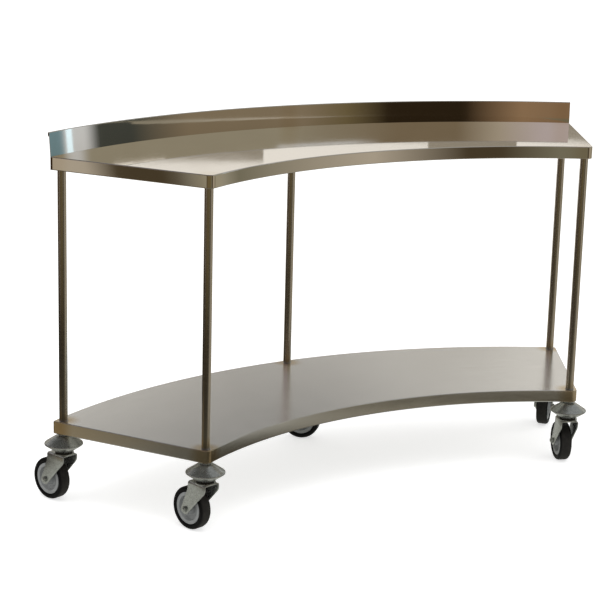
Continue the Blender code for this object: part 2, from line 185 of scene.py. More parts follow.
# %% Helpers for turned and swept pieces
OUTER_RADIUS = 1.430
INNER_RADIUS = 1.010
HALF_ARC = math.radians(31.4)
ARC_STEPS = 128
ARC_CENTRE = Vector((0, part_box("lower_shelf")[1].y - OUTER_RADIUS, 0))
UP = (0, 0, 1)


def draw_section(points):
    """Starts a piece as one vertex and extrudes it from point to point, in the XZ plane."""
    clear_selection()
    bpy.ops.mesh.primitive_plane_add(size=1)
    edit_all()
    bpy.ops.mesh.select_mode(type="VERT")
    bpy.ops.mesh.merge(type="CENTER")
    places = [Vector((across, 0, height)) for across, height in points]
    bpy.ops.transform.translate(value=places[0])
    for here, there in zip(places, places[1:]):
        bpy.ops.mesh.extrude_region_move(TRANSFORM_OT_translate={"value": there - here})
    edit_all()
    return bpy.context.object


def turn_section(points, steps=ROUND_STEPS):
    """A section of (radius, height) points spun right round. Its ends lie on the Z axis or meet."""
    piece = draw_section(points)
    bpy.ops.mesh.spin(steps=steps, angle=2 * math.pi, center=(0, 0, 0), axis=UP)
    edit_all()
    bpy.ops.mesh.remove_doubles(threshold=MERGE)
    bpy.ops.mesh.normals_make_consistent(inside=False)
    leave_edit()
    return piece


def sweep_section(points, first, last, steps, centre=ARC_CENTRE):
    """A section of (radius, height) points swept about a centre, clockwise from one bearing to another."""
    piece = draw_section(points)
    leave_edit()
    piece.rotation_euler.z = math.pi / 2 - first
    piece.location = centre
    bpy.ops.object.transform_apply()
    edit_all()
    bpy.ops.mesh.spin(steps=steps, angle=last - first, center=centre, axis=UP)
    leave_edit()
    return piece


def ring(points):
    """Closes a section by going back to its first point."""
    return [*points, points[0]]


def both_sides(upper):
    """A closed section that is alike above and below the middle."""
    return ring(upper + [(radius, -height) for radius, height in reversed(upper)])


print("arc centre", ARC_CENTRE)

# %% [markdown]
# ## Worktop and lower shelf
# Each is one stainless sheet with its edges folded down and a narrow lip turned in under them. It
# could be cut from a block, but a folded sheet shows its bends. So a line from the inner to the
# outer edge is spun along the arc, the border is extruded down, the corners are rounded as they
# are after welding and grinding, the folds are rounded, and only then does it get its thickness.

# %% Model the folded sheets
SHEET = 0.0012
LIP_WIDTH = 0.006
FOLD_RADIUS = 0.0020
FRONT_CORNER = 0.014
REAR_CORNER = 0.0045
CORNER_STEPS = 8
FOLD_STEPS = 3
SHEET_STEPS = 72
LEG_RADIUS = 0.010
HOLE_CLEARANCE = 0.0003
FOLD_ANGLE = math.radians(30)
CORNER_ANGLE = 1.0
MOSTLY = 0.9


def from_centre(edge):
    """How far the middle of an edge lies from the arc's centre, seen from above."""
    return ((edge.verts[0].co + edge.verts[1].co) / 2 - ARC_CENTRE).xy.length


def folded_sheet(node, outer, rear_fold):
    """A sheet with folded edges. Folds closer to the outer radius than the rear fold's reach stay sharp."""
    low, high = heights(node)
    depth = high - low
    piece = sweep_section([(outer, high), (INNER_RADIUS, high)], -HALF_ARC, HALF_ARC, SHEET_STEPS)
    edit_all()
    bpy.ops.mesh.normals_make_consistent(inside=False)
    pick("EDGE", lambda edge: edge.is_boundary)
    bpy.ops.mesh.extrude_region_move(TRANSFORM_OT_translate={"value": (0, 0, -depth)})
    for wanted, radius in ((INNER_RADIUS, FRONT_CORNER), (outer, REAR_CORNER)):
        pick("EDGE", lambda edge: len(edge.link_faces) == 2
             and abs(edge.verts[0].co.z - edge.verts[1].co.z) > depth / 2
             and edge.calc_face_angle() > CORNER_ANGLE and abs(from_centre(edge) - wanted) < LIP_WIDTH)
        bpy.ops.mesh.bevel(offset=radius, segments=CORNER_STEPS, affect="EDGES")
    pick("EDGE", lambda edge: edge.is_boundary)
    bpy.ops.mesh.edge_face_add()
    bpy.ops.mesh.inset(thickness=LIP_WIDTH)
    bpy.ops.mesh.delete(type="FACE")
    edit_all()
    bpy.ops.mesh.normals_make_consistent(inside=False)
    pick("FACE", lambda face: face.normal.z < -MOSTLY and face.calc_center_median().z > high - MERGE)
    if bpy.context.edit_object.data.total_face_sel:
        edit_all()
        bpy.ops.mesh.flip_normals()
    pick("EDGE", lambda edge: len(edge.link_faces) == 2 and edge.calc_face_angle() > FOLD_ANGLE
         and from_centre(edge) < outer - rear_fold)
    bpy.ops.mesh.bevel(offset=FOLD_RADIUS, segments=FOLD_STEPS, affect="EDGES")
    leave_edit()
    apply_modifier(piece, "SOLIDIFY", thickness=SHEET, offset=-1, use_even_offset=True,
                   use_quality_normals=True)
    return piece


worktop_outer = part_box("worktop_sheet")[1].y - ARC_CENTRE.y
worktop = finish_piece(folded_sheet("worktop_sheet", worktop_outer, SHEET), "worktop", weighted=True)

shelf = folded_sheet("lower_shelf", OUTER_RADIUS, -SHEET)
shelf_top = heights("lower_shelf")[1]
for site in SITES:
    low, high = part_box("leg_" + site)
    middle = (low + high) / 2
    cut(shelf, cylinder(LEG_RADIUS + HOLE_CLEARANCE, 4 * LEG_RADIUS, (middle.x, middle.y, shelf_top)))
finish_piece(shelf, "shelf", weighted=True)
print("worktop faces", len(worktop.data.polygons), "shelf faces", len(shelf.data.polygons))

# %% [markdown]
# ## Rim
# The rim is a strip along the outer edge. It stands above the worktop, and its top is folded back
# on itself so that no cut edge is left to the hand. The fold is drawn as a half circle. Above the
# worktop the strip leans out a little, as bent strips do, so it mirrors the room and not the worktop.

# %% Model the rim
HEM_DEPTH = 0.010
HEM_CENTRE = 0.0013
HEM_STEPS = 8
RIM_LEAN = math.radians(4)

low, high = heights("rear_upstand")
strip_radius = OUTER_RADIUS - SHEET / 2
hem_height = high - SHEET / 2 - HEM_CENTRE
bend_height = heights("worktop_sheet")[1]
section = [(strip_radius, low), (strip_radius, bend_height)]
for step in range(HEM_STEPS + 1):
    angle = math.pi * (1 - step / HEM_STEPS)
    section.append((strip_radius + HEM_CENTRE + HEM_CENTRE * math.cos(angle),
                    hem_height + HEM_CENTRE * math.sin(angle)))
section.append((strip_radius + 2 * HEM_CENTRE, high - HEM_DEPTH))
section = [(radius + max(height - bend_height, 0) * math.tan(RIM_LEAN), height) for radius, height in section]
rim = sweep_section(section, -HALF_ARC, HALF_ARC, ARC_STEPS)
apply_modifier(rim, "SOLIDIFY", thickness=SHEET, offset=0, use_even_offset=True)
round_edges(rim, SHEET / 4, segments=2, angle=60)
finish_piece(rim, "rim", weighted=True)
print("rim faces", len(rim.data.polygons))

# %% [markdown]
# ## Stiffening channels
# A thin sheet this wide drums and sags, so a folded channel is welded under each one. It only
# shows from below. Its section is swept along the arc, and its folds are rounded.

# %% Model the channels
CHANNEL_WIDTH = 0.060
CHANNEL_FLANGE = 0.015
CHANNEL_END_SPACE = 0.050
CHANNEL_FOLD = 0.003
CHANNEL_RADIUS = (OUTER_RADIUS + INNER_RADIUS) / 2


def channel(node, name):
    """A channel with flanges, which ends a little before the sheet does."""
    low, high = heights(node)
    top, foot = high - SHEET / 2, low + SHEET / 2
    inner, outer = CHANNEL_RADIUS - CHANNEL_WIDTH / 2, CHANNEL_RADIUS + CHANNEL_WIDTH / 2
    points = [(inner - CHANNEL_FLANGE, top), (inner, top), (inner, foot)]
    points += [(outer, foot), (outer, top), (outer + CHANNEL_FLANGE, top)]
    half_angle = HALF_ARC - math.asin(CHANNEL_END_SPACE / CHANNEL_RADIUS)
    piece = sweep_section(points, -half_angle, half_angle, ARC_STEPS // 2)
    round_edges(piece, CHANNEL_FOLD)
    apply_modifier(piece, "SOLIDIFY", thickness=SHEET, offset=0, use_even_offset=True)
    return finish_piece(piece, name, weighted=True)


worktop_channel = channel("worktop_stiffener", "worktop_channel")
shelf_channel = channel("shelf_stiffener", "shelf_channel")
print("channel faces", len(worktop_channel.data.polygons))

# %% [markdown]
# ## Legs and leg sockets
# The legs are thin drawn tubes. Each one plugs over a turned socket under the worktop, passes
# through the shelf, and ends on its castor. Where it meets a sheet, a small weld bead runs round
# it. Tube and bead are one turned section, so the bead flows out of the tube.

# %% Model a leg and a socket
LEG_WALL = 0.0012
BEAD = 0.0016
BEAD_STEPS = 5
SOCKET_FLANGE = 0.0135
SOCKET_CHAMFER = 0.0008

leg_low, leg_high = heights("leg_front_left")
bead = []
for step in reversed(range(BEAD_STEPS + 1)):
    angle = math.pi / 2 * step / BEAD_STEPS
    bead.append((LEG_RADIUS + BEAD * (1 - math.sin(angle)), shelf_top + BEAD * (1 - math.cos(angle))))
bore = LEG_RADIUS - LEG_WALL
section = [(LEG_RADIUS, leg_high), *bead, (LEG_RADIUS, shelf_top), (LEG_RADIUS, leg_low),
           (bore, leg_low), (bore, leg_high)]
leg_pattern = finish_piece(turn_section(ring(section)), "leg_pattern")

socket_low, socket_high = heights("socket_front_left")
plug = bore - HOLE_CLEARANCE
flange_low = leg_high + HOLE_CLEARANCE
section = [(0, socket_high), (SOCKET_FLANGE, socket_high), (SOCKET_FLANGE, flange_low), (plug, flange_low),
           (plug, socket_low), (0, socket_low)]
socket_pattern = turn_section(section)
round_edges(socket_pattern, SOCKET_CHAMFER, segments=2)
finish_piece(socket_pattern, "socket_pattern")
print("leg faces", len(leg_pattern.data.polygons), "socket faces", len(socket_pattern.data.polygons))

# %% [markdown]
# ## Castor: stem, cup and race
# The castor's head is a discus-shaped cup of zinc-plated steel: a shallow cone above, a deeper one
# below, and a rolled edge between them. A dark ball race runs under it. All of them are turned,
# and their edges are rounded as pressed and turned parts are.

# %% Model the stem, the cup and the race
TURN_STEPS = 72
PIN_RADIUS = 0.006
CUP_RADIUS = 0.045
CUP_NECK = 0.018
CUP_BASE = 0.022
CUP_LOWER = 0.016
CUP_EDGE = 0.003
CUP_ROUND = 0.0012
RACE_RADIUS = 0.0205
RACE_WALL = 0.010
RACE_GROOVE = 0.0012
PIN_HEAD_RADIUS = 0.010
PIN_HEAD_HEIGHT = 0.003
SHOULDER_RADIUS = 0.0125
SHOULDER_HEIGHT = 0.0055

cup_low, cup_high = heights("cup_front_left")
edge_low = cup_low + CUP_LOWER
pin_bore = PIN_RADIUS + HOLE_CLEARANCE
section = [(pin_bore, cup_high), (CUP_NECK, cup_high), (CUP_RADIUS, edge_low + CUP_EDGE),
           (CUP_RADIUS, edge_low), (CUP_BASE, cup_low), (pin_bore, cup_low)]
cup_pattern = turn_section(ring(section), TURN_STEPS)
round_edges(cup_pattern, CUP_ROUND, segments=4, angle=20)
finish_piece(cup_pattern, "cup_pattern")

race_low, race_high = heights("race_front_left")
groove_low = (race_low + race_high) / 2 - RACE_GROOVE / 2
groove_high = (race_low + race_high) / 2 + RACE_GROOVE / 2
race_bore, groove_floor = RACE_RADIUS - RACE_WALL, RACE_RADIUS - RACE_GROOVE
section = [(race_bore, race_high), (RACE_RADIUS, race_high), (RACE_RADIUS, groove_high),
           (groove_floor, groove_high), (groove_floor, groove_low), (RACE_RADIUS, groove_low),
           (RACE_RADIUS, race_low), (race_bore, race_low)]
race_pattern = turn_section(ring(section), TURN_STEPS)
round_edges(race_pattern, RACE_GROOVE / 6, segments=2)
finish_piece(race_pattern, "race_pattern")

stem_low, stem_high = heights("stem_front_left")
shoulder_low = cup_high + HOLE_CLEARANCE
shoulder_high = shoulder_low + SHOULDER_HEIGHT
head_high = stem_low + PIN_HEAD_HEIGHT
section = [(0, stem_high), (plug, stem_high), (plug, shoulder_high), (SHOULDER_RADIUS, shoulder_high),
           (SHOULDER_RADIUS, shoulder_low), (PIN_RADIUS, shoulder_low), (PIN_RADIUS, head_high),
           (PIN_HEAD_RADIUS, head_high), (PIN_HEAD_RADIUS, stem_low), (0, stem_low)]
stem_pattern = turn_section(section, TURN_STEPS // 2)
round_edges(stem_pattern, SHOULDER_HEIGHT / 8, segments=2)
finish_piece(stem_pattern, "stem_pattern")
print("cup faces", len(cup_pattern.data.polygons), "race faces", len(race_pattern.data.polygons))

# %% [markdown]
# ## Castor: fork
# The fork is pressed from one plate: a flat crown with a raised round seat for the race, and two
# cheeks that taper to a round end at the axle. It could be carved from a block. Here a cube without
# its bottom and ends gives the folded plate, its folds are bevelled, and it gets a thickness. A flat
# outline, extruded right across, then trims both cheeks at once, as a press tool does.

# %% Model the fork
FORK_PLATE = 0.0027
FORK_HALF_WIDTH = 0.0222
FORK_BEND = 0.004
BEND_STEPS = 5
TRAIL = 0.043
AXLE_HEIGHT = 0.050
AXLE_RADIUS = 0.004
CROWN_FRONT = 0.022
CROWN_BACK = 0.034
CROWN_RADIUS = 0.024
CROWN_RISE = 0.002
CHEEK_SHOULDER = 0.014
SHOULDER_ROUND = 0.006
BOSS_RADIUS = 0.012
BOSS_STEPS = 20
PLATE_ROUND = 0.0006
RIGHT_ACROSS = 4 * FORK_HALF_WIDTH

crown_top = race_low - HOLE_CLEARANCE
plate_middle = crown_top - CROWN_RISE - FORK_PLATE / 2
crown_under = plate_middle - FORK_PLATE / 2
cheek_low = AXLE_HEIGHT - 2 * BOSS_RADIUS
clear_selection()
bpy.ops.mesh.primitive_cube_add(size=1, location=(TRAIL / 2, 0, (plate_middle + cheek_low) / 2),
                                scale=(4 * TRAIL, 2 * FORK_HALF_WIDTH - FORK_PLATE, plate_middle - cheek_low))
fork_pattern = bpy.context.object
bpy.ops.object.transform_apply()
edit_all()
pick("FACE", lambda face: face.normal.z < -MOSTLY or abs(face.normal.x) > MOSTLY)
bpy.ops.mesh.delete(type="FACE")
pick("EDGE", lambda edge: len(edge.link_faces) == 2)
bpy.ops.mesh.bevel(offset=FORK_BEND, segments=BEND_STEPS, affect="EDGES")
leave_edit()
apply_modifier(fork_pattern, "SOLIDIFY", thickness=FORK_PLATE, offset=0, use_even_offset=True)


def touching_angle(point, side):
    """The angle at which a line from a point touches the round end. The side is +1 or -1."""
    reach = Vector((point[0] - TRAIL, point[1] - AXLE_HEIGHT))
    return math.atan2(reach.y, reach.x) + side * math.acos(BOSS_RADIUS / reach.length)


shoulder = crown_under - CHEEK_SHOULDER
first = touching_angle((-CROWN_FRONT, shoulder), 1)
last = touching_angle((CROWN_BACK, shoulder), -1)
sweep = (last - first) % (2 * math.pi)
outline = [(-CROWN_FRONT, crown_top), (-CROWN_FRONT, shoulder)]
for step in range(BOSS_STEPS + 1):
    angle = first + sweep * step / BOSS_STEPS
    outline.append((TRAIL + BOSS_RADIUS * math.cos(angle), AXLE_HEIGHT + BOSS_RADIUS * math.sin(angle)))
outline += [(CROWN_BACK, shoulder), (CROWN_BACK, crown_top)]
press_tool = draw_section(outline)
bpy.ops.mesh.edge_face_add()
pick("VERT", lambda vert: abs(vert.co.z - shoulder) < MERGE)
bpy.ops.mesh.bevel(offset=SHOULDER_ROUND, segments=BEND_STEPS, affect="VERTICES")
edit_all()
bpy.ops.mesh.extrude_region_move(TRANSFORM_OT_translate={"value": (0, RIGHT_ACROSS, 0)})
edit_all()
bpy.ops.transform.translate(value=(0, -RIGHT_ACROSS / 2, 0))
bpy.ops.mesh.normals_make_consistent(inside=False)
leave_edit()
cut(fork_pattern, press_tool, "INTERSECT")
round_edges(fork_pattern, PLATE_ROUND, segments=2, angle=50)

seat = turn_section([(0, crown_top), (CROWN_RADIUS, crown_top), (CROWN_RADIUS, plate_middle),
                     (0, plate_middle)], TURN_STEPS)
round_edges(seat, PLATE_ROUND, segments=2)
cut(fork_pattern, seat, "UNION")
axle_bore = AXLE_RADIUS + HOLE_CLEARANCE
cut(fork_pattern, cylinder(pin_bore, RIGHT_ACROSS, (0, 0, crown_top)))
cut(fork_pattern, cylinder(axle_bore, RIGHT_ACROSS, (TRAIL, 0, AXLE_HEIGHT), math.pi / 2))
finish_piece(fork_pattern, "fork_pattern")
print("fork faces", len(fork_pattern.data.polygons))

# %% [markdown]
# ## Castor: axle bolt and nut
# The wheel turns on a hexagon bolt, held by a hexagon nut. A plain six-sided bar would look like a
# toy, because real hexagons have their corners turned off at a shallow angle. So a six-sided
# cylinder is cut with a turned drum whose ends slope, and the bolt's thread is turned as rings.

# %% Model the bolt and the nut
HEX_RADIUS = 0.0075
HEX_HEIGHT = 0.005
HEX_SLOPE = math.radians(30)
BOLT_POINT = 0.002
THREAD_PITCH = 0.00125
THREAD_DEPTH = 0.0005
SPARE = 0.001


def hexagon(low, high, both_ends):
    """A six-sided head or nut between two heights, sloped at its upper end or at both."""
    bottom = low - SPARE if both_ends else low
    piece = cylinder(HEX_RADIUS, high + SPARE - bottom, (0, 0, (high + SPARE + bottom) / 2), sides=6)
    bpy.ops.object.transform_apply()
    flat, reach = HEX_RADIUS * math.cos(math.pi / 6), HEX_RADIUS + SPARE
    drop = (reach - flat) * math.tan(HEX_SLOPE)
    lower = [(reach, low - SPARE), (0, low - SPARE)]
    if both_ends:
        lower = [(reach, low + drop), (flat, low), (0, low)]
    cut(piece, turn_section([(0, high), (flat, high), (reach, high - drop), *lower]), "INTERSECT")
    return piece


bolt_seat = FORK_HALF_WIDTH + HOLE_CLEARANCE
tip = -(bolt_seat + HEX_HEIGHT + BOLT_POINT)
thread_floor = AXLE_RADIUS - THREAD_DEPTH
bolt_pattern = hexagon(bolt_seat, bolt_seat + HEX_HEIGHT, False)
height = THREAD_PITCH - bolt_seat
section = [(0, bolt_seat + HEX_HEIGHT / 2), (AXLE_RADIUS, bolt_seat + HEX_HEIGHT / 2), (AXLE_RADIUS, height)]
while height - 1.5 * THREAD_PITCH > tip:
    section += [(thread_floor, height - THREAD_PITCH / 2), (AXLE_RADIUS, height - THREAD_PITCH)]
    height -= THREAD_PITCH
section += [(thread_floor, tip), (0, tip)]
cut(bolt_pattern, turn_section(section), "UNION")
finish_piece(bolt_pattern, "bolt_pattern")

nut_pattern = hexagon(-bolt_seat - HEX_HEIGHT, -bolt_seat, True)
cut(nut_pattern, cylinder(axle_bore, 4 * HEX_HEIGHT, (0, 0, -bolt_seat - HEX_HEIGHT / 2)))
finish_piece(nut_pattern, "nut_pattern")
print("bolt faces", len(bolt_pattern.data.polygons), "nut faces", len(nut_pattern.data.polygons))

# %% [markdown]
# ## Castor: wheel
# The wheel is a moulded plastic centre with a rubber tyre on it. Both are turned about the axle.
# The centre has a boss, a thin web with a stiffening ring, and a rim. The tyre's shoulders are round
# and its tread is almost flat. Each point of the tyre also stores how far out it lies, from 0 at the
# rim to 1 on the tread, so that the rubber's finish can put the dust where it rolls.

# %% Model the wheel
WHEEL_STEPS = 96
HUB_OUTER = 0.0372
HUB_HALF_WIDTH = 0.0191
HUB_BOSS = 0.013
HUB_WEB = 0.004
HUB_RIM = 0.013
HUB_RIM_INNER = 0.0292
HUB_DRAFT = 0.002
HUB_RING = 0.0212
HUB_RING_HALF = 0.0014
HUB_RING_RISE = 0.0012
HUB_ROUND = 0.0006
TYRE_INNER = 0.0375
TYRE_SIDE = 0.016
TYRE_SHOULDER = 0.005
TYRE_ROUND = 0.003
TREAD = AXLE_HEIGHT

ring_top = HUB_WEB + HUB_RING_RISE
upper = [
    (axle_bore, HUB_HALF_WIDTH), (HUB_BOSS, HUB_HALF_WIDTH), (HUB_BOSS + HUB_DRAFT, HUB_WEB),
    (HUB_RING - HUB_RING_HALF, HUB_WEB), (HUB_RING - HUB_RING_HALF / 2, ring_top),
    (HUB_RING + HUB_RING_HALF / 2, ring_top), (HUB_RING + HUB_RING_HALF, HUB_WEB),
    (HUB_RIM_INNER - HUB_DRAFT, HUB_WEB), (HUB_RIM_INNER, HUB_RIM), (HUB_OUTER, HUB_RIM),
]
hub_pattern = turn_section(both_sides(upper), WHEEL_STEPS)
round_edges(hub_pattern, HUB_ROUND, segments=3, angle=25)
finish_piece(hub_pattern, "hub_pattern")

upper = [(TYRE_INNER, TYRE_SIDE - TYRE_SHOULDER / 2), (TREAD - TYRE_SHOULDER, TYRE_SIDE),
         (TREAD, TYRE_SIDE - TYRE_SHOULDER)]
tyre_pattern = turn_section(both_sides(upper), WHEEL_STEPS)
round_edges(tyre_pattern, TYRE_ROUND, segments=4, angle=20)
finish_piece(tyre_pattern, "tyre_pattern")
tread = tyre_pattern.data.attributes.new("tread", "FLOAT", "POINT")
for point in tyre_pattern.data.vertices:
    reach = (point.co.xy.length - TYRE_INNER) / (TREAD - TYRE_INNER)
    tread.data[point.index].value = min(max(reach, 0), 1)
print("hub faces", len(hub_pattern.data.polygons), "tyre faces", len(tyre_pattern.data.polygons))

# %% [markdown]
# ## Put the pieces in place
# Every leg and castor is alike, so each was modelled once, at the middle of the floor. Here each is
# copied to its place. A leg's own box says where it stands, and its wheel's box says which way the
# castor points. A copy rides on the body that it belongs to: the table, the castor or the wheel.

# %% Copy the legs and castors
pieces = {}


def put(piece, body, node, slot):
    """Makes a piece move with a body, stand for a node and take a finish."""
    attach(piece, body)
    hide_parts(node)
    pieces.setdefault(slot, []).append(piece)


def copy_to(pattern, name, place):
    """A copy of a pattern with a mesh of its own, with its place in that mesh."""
    choose(pattern)
    bpy.ops.object.duplicate()
    piece = bpy.context.object
    piece.matrix_world = place
    bpy.ops.object.transform_apply()
    piece.name = piece.data.name = name
    return piece


put(worktop, "table", "worktop_sheet", "polished_sheet")
put(rim, "table", "rear_upstand", "polished_sheet")
put(shelf, "table", "lower_shelf", "satin_sheet")
put(worktop_channel, "table", "worktop_stiffener", "satin_sheet")
put(shelf_channel, "table", "shelf_stiffener", "satin_sheet")

# The node's name, the pattern, the piece's name and the finish.
FIXED = (("leg", leg_pattern, "leg_tube", "leg_tube"), ("socket", socket_pattern, "leg_socket", "zinc_steel"),
         ("stem", stem_pattern, "castor_stem", "zinc_steel"), ("cup", cup_pattern, "castor_cup", "zinc_steel"))
SWIVELLING = (("race", race_pattern, "castor_race", "race_steel"),
              ("fork", fork_pattern, "castor_fork", "zinc_steel"))
ON_AXLE = (("axle_bolt", bolt_pattern, "wheel_bolt", "zinc_steel"),
           ("axle_nut", nut_pattern, "wheel_nut", "zinc_steel"))
ROLLING = (("hub", hub_pattern, "wheel_centre", "hub_plastic"),
           ("tyre", tyre_pattern, "wheel_tyre", "tyre_rubber"))

axle = Matrix.Translation((TRAIL, 0, AXLE_HEIGHT)) @ Matrix.Rotation(math.pi / 2, 4, "X")
feet = {}
for site in SITES:
    foot = sum(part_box("leg_" + site), Vector()) / 2
    wheel = sum(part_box("hub_" + site), Vector()) / 2
    feet[site] = foot.xy
    heading = Matrix.Rotation(math.atan2(wheel.y - foot.y, wheel.x - foot.x), 4, "Z")
    castor = Matrix.Translation((foot.x, foot.y, 0)) @ heading
    for group, body, place in ((FIXED, "table", castor), (SWIVELLING, "castor_" + site, castor),
                               (ON_AXLE, "castor_" + site, castor @ axle),
                               (ROLLING, "wheel_" + site, castor @ axle)):
        for node, pattern, name, slot in group:
            put(copy_to(pattern, f"{name}_{site}", place), body, f"{node}_{site}", slot)
for group in (FIXED, SWIVELLING, ON_AXLE, ROLLING):
    for node, pattern, name, slot in group:
        bpy.data.objects.remove(pattern)
print("pieces", {slot: len(members) for slot, members in pieces.items()})

# %% [markdown]
# ## Helpers for finishes
# Every finish is a small tree of nodes. One function adds them all. It takes a node's inputs as the
# node shows them, from the top down: a noise gets its place, scale, detail and roughness, and a map
# range gets its value, the range it comes from and the range it goes to. Colours are written as the
# hex values that a picture editor shows, and turned to the linear values that the shaders work with.

# %% Helpers for finishes
MM = 0.001
WHITE = (1, 1, 1, 1)
# Most values of a noise lie in this range.
NOISE_SPAN = (0.3, 0.7)


def colour(code):
    """Turns an sRGB hex value into the linear colour that a socket takes."""
    channels = [int(code[place:place + 2], 16) / 255 for place in (1, 3, 5)]
    linear = [c / 12.92 if c <= 0.04045 else ((c + 0.055) / 1.055) ** 2.4 for c in channels]
    return (*linear, 1.0)


def add_node(tree, kind, *inputs, **settings):
    """Adds a node. Inputs come in the order shown, or by name in a dict. Nodes and outputs are linked."""
    node = tree.nodes.new("ShaderNode" + kind)
    for key, value in settings.items():
        setattr(node, key, value)
    pairs = zip([socket for socket in node.inputs if socket.enabled], inputs)
    if inputs and isinstance(inputs[0], dict):
        pairs = [(node.inputs[key], value) for key, value in inputs[0].items()]
    for socket, value in pairs:
        if isinstance(value, bpy.types.Node):
            value = next(output for output in value.outputs if output.enabled)
        if isinstance(value, bpy.types.NodeSocket):
            tree.links.new(value, socket)
        else:
            socket.default_value = value
    return node


def new_material(name):
    """An empty node material, and the function that adds nodes to it."""
    material = bpy.data.materials.new(name)
    material.use_nodes = True
    material.node_tree.nodes.clear()
    return material, partial(add_node, material.node_tree)


def paint_ramp(ramp, stops):
    """Gives a colour ramp its stops, as pairs of a place from 0 to 1 and a hex colour."""
    elements = ramp.color_ramp.elements
    while len(elements) > 1:
        elements.remove(elements[-1])
    elements[0].position, elements[0].color = stops[0][0], colour(stops[0][1])
    for place_on_ramp, code in stops[1:]:
        elements.new(place_on_ramp).color = colour(code)


def dress(slot, material, add, looks):
    """Ends a finish with its surface, and gives it to all the pieces of a slot."""
    add("OutputMaterial", add("BsdfPrincipled", looks))
    for piece in pieces[slot]:
        piece.data.materials.clear()
        piece.data.materials.append(material)
    print(material.name, "on", len(pieces[slot]), "pieces")


print("mid grey, linear", colour("#808080"))

# %% [markdown]
# ## Stainless sheet
# The sheets are rolled stainless steel. The worktop and its rim were polished until they mirror the
# room softly, and the shelf was left satin. Polishing belts leave fine lines, which follow the arc
# here, so the lines use the distance along the arc and the distance from its centre. A thin sheet is
# never quite flat: slow waves in it make the mirrored room bend. Welding under it leaves a faint
# straw tint near the legs, and wiping leaves smudges in the gloss.

# %% Finish the sheets
HEAT_REACH = 45 * MM
WIPED_SPAN = (0.35, 0.75)
WIPED_ROUGHNESS = 0.02


def along_the_arc(add, place):
    """Metres along the arc, metres from its centre, and height, as one vector."""
    parts = add("SeparateXYZ", add("Mapping", place, -ARC_CENTRE)).outputs
    angle = add("Math", parts["X"], parts["Y"], operation="ARCTAN2")
    along = add("Math", angle, CHANNEL_RADIUS, operation="MULTIPLY")
    reach = add("VectorMath", add("CombineXYZ", parts["X"], parts["Y"]), operation="LENGTH")
    return add("CombineXYZ", along, reach, parts["Z"])


def near_legs(add, place, near, far):
    """1 up to the near distance from a leg, 0 from the far one on. The halves are alike, so x is folded."""
    parts = add("SeparateXYZ", place).outputs
    flat = add("CombineXYZ", add("Math", parts["X"], operation="ABSOLUTE"), parts["Y"])
    nearest = None
    for site in ("rear_middle", "rear_right", "front_right"):
        away = add("VectorMath", flat, (*feet[site], 0), operation="DISTANCE")
        nearest = add("Math", nearest, away, operation="MINIMUM") if nearest else away
    return add("MapRange", nearest, near, far, 1, 0, interpolation_type="SMOOTHSTEP")


def stainless_sheet(slot, name, light, dark, tint, heat, gloss, wave_height):
    """Belt-polished sheet. Heat is the tint's share at a leg, gloss the lowest and the highest roughness."""
    material, add = new_material(name)
    place = add("TexCoord").outputs["Object"]
    arc = along_the_arc(add, place)
    # Real belt lines are about 0.1 mm apart. They are drawn 2 mm apart and 90 mm long, so that they show.
    stretched = add("Mapping", {"Vector": arc, "Scale": (1 / (90 * MM), 1 / (2 * MM), 1 / (2 * MM))})
    lines = add("TexNoise", stretched, 1, 3, 0.6)
    # Wiped smudges are about the size of a hand, 90 mm.
    smudges = add("TexNoise", place, 1 / (90 * MM), 4, 0.6)
    # The sheet's waves are about 220 mm long.
    waves = add("TexNoise", place, 1 / (220 * MM), 1, 0.4)
    shade = add("Mix", smudges, colour(dark), colour(light), data_type="RGBA")
    heated = add("Math", near_legs(add, place, LEG_RADIUS, HEAT_REACH), heat, operation="MULTIPLY")
    shade = add("Mix", heated, shade, colour(tint), data_type="RGBA")
    rough = add("MapRange", lines, *NOISE_SPAN, *gloss)
    wiped = add("MapRange", smudges, *WIPED_SPAN, 0, WIPED_ROUGHNESS)
    rough = add("Math", rough, wiped, operation="ADD")
    bend = add("Bump", {"Height": waves, "Distance": wave_height})
    grain = add("Bump", {"Height": lines, "Distance": 0.004 * MM, "Normal": bend})
    dress(slot, material, add, {"Base Color": shade, "Metallic": 1, "Roughness": rough, "Normal": grain})


# Polished sheet shows the room, softly blurred along the belt lines.
stainless_sheet("polished_sheet", "polished stainless sheet", "#DAD3C8", "#D2CBC0", "#B79B62", heat=0.2,
                gloss=(0.02, 0.045), wave_height=0.05 * MM)
# Satin sheet shows only broad light and dark.
stainless_sheet("satin_sheet", "satin stainless sheet", "#E0DFDC", "#D6D5D2", "#B0924F", heat=0.7,
                gloss=(0.16, 0.23), wave_height=0.2 * MM)

# %% [markdown]
# ## Stainless tube
# The legs are welded tube, polished while they turn, so their fine lines run round them. Where the
# leg was welded to the shelf, heat has left a ring of straw colour that goes over into blue-grey.

# %% Finish the legs
RING_CORE, RING_REACH, RING_SHARE = 4 * MM, 30 * MM, 0.7

material, add = new_material("polished stainless tube")
place = add("TexCoord").outputs["Object"]
# Lines round the tube are really about 0.1 mm apart. They are drawn 1.5 mm apart, so that they show.
stretched = add("Mapping", {"Vector": place, "Scale": (1 / (30 * MM), 1 / (30 * MM), 1 / (1.5 * MM))})
lines = add("TexNoise", stretched, 1, 3, 0.6)
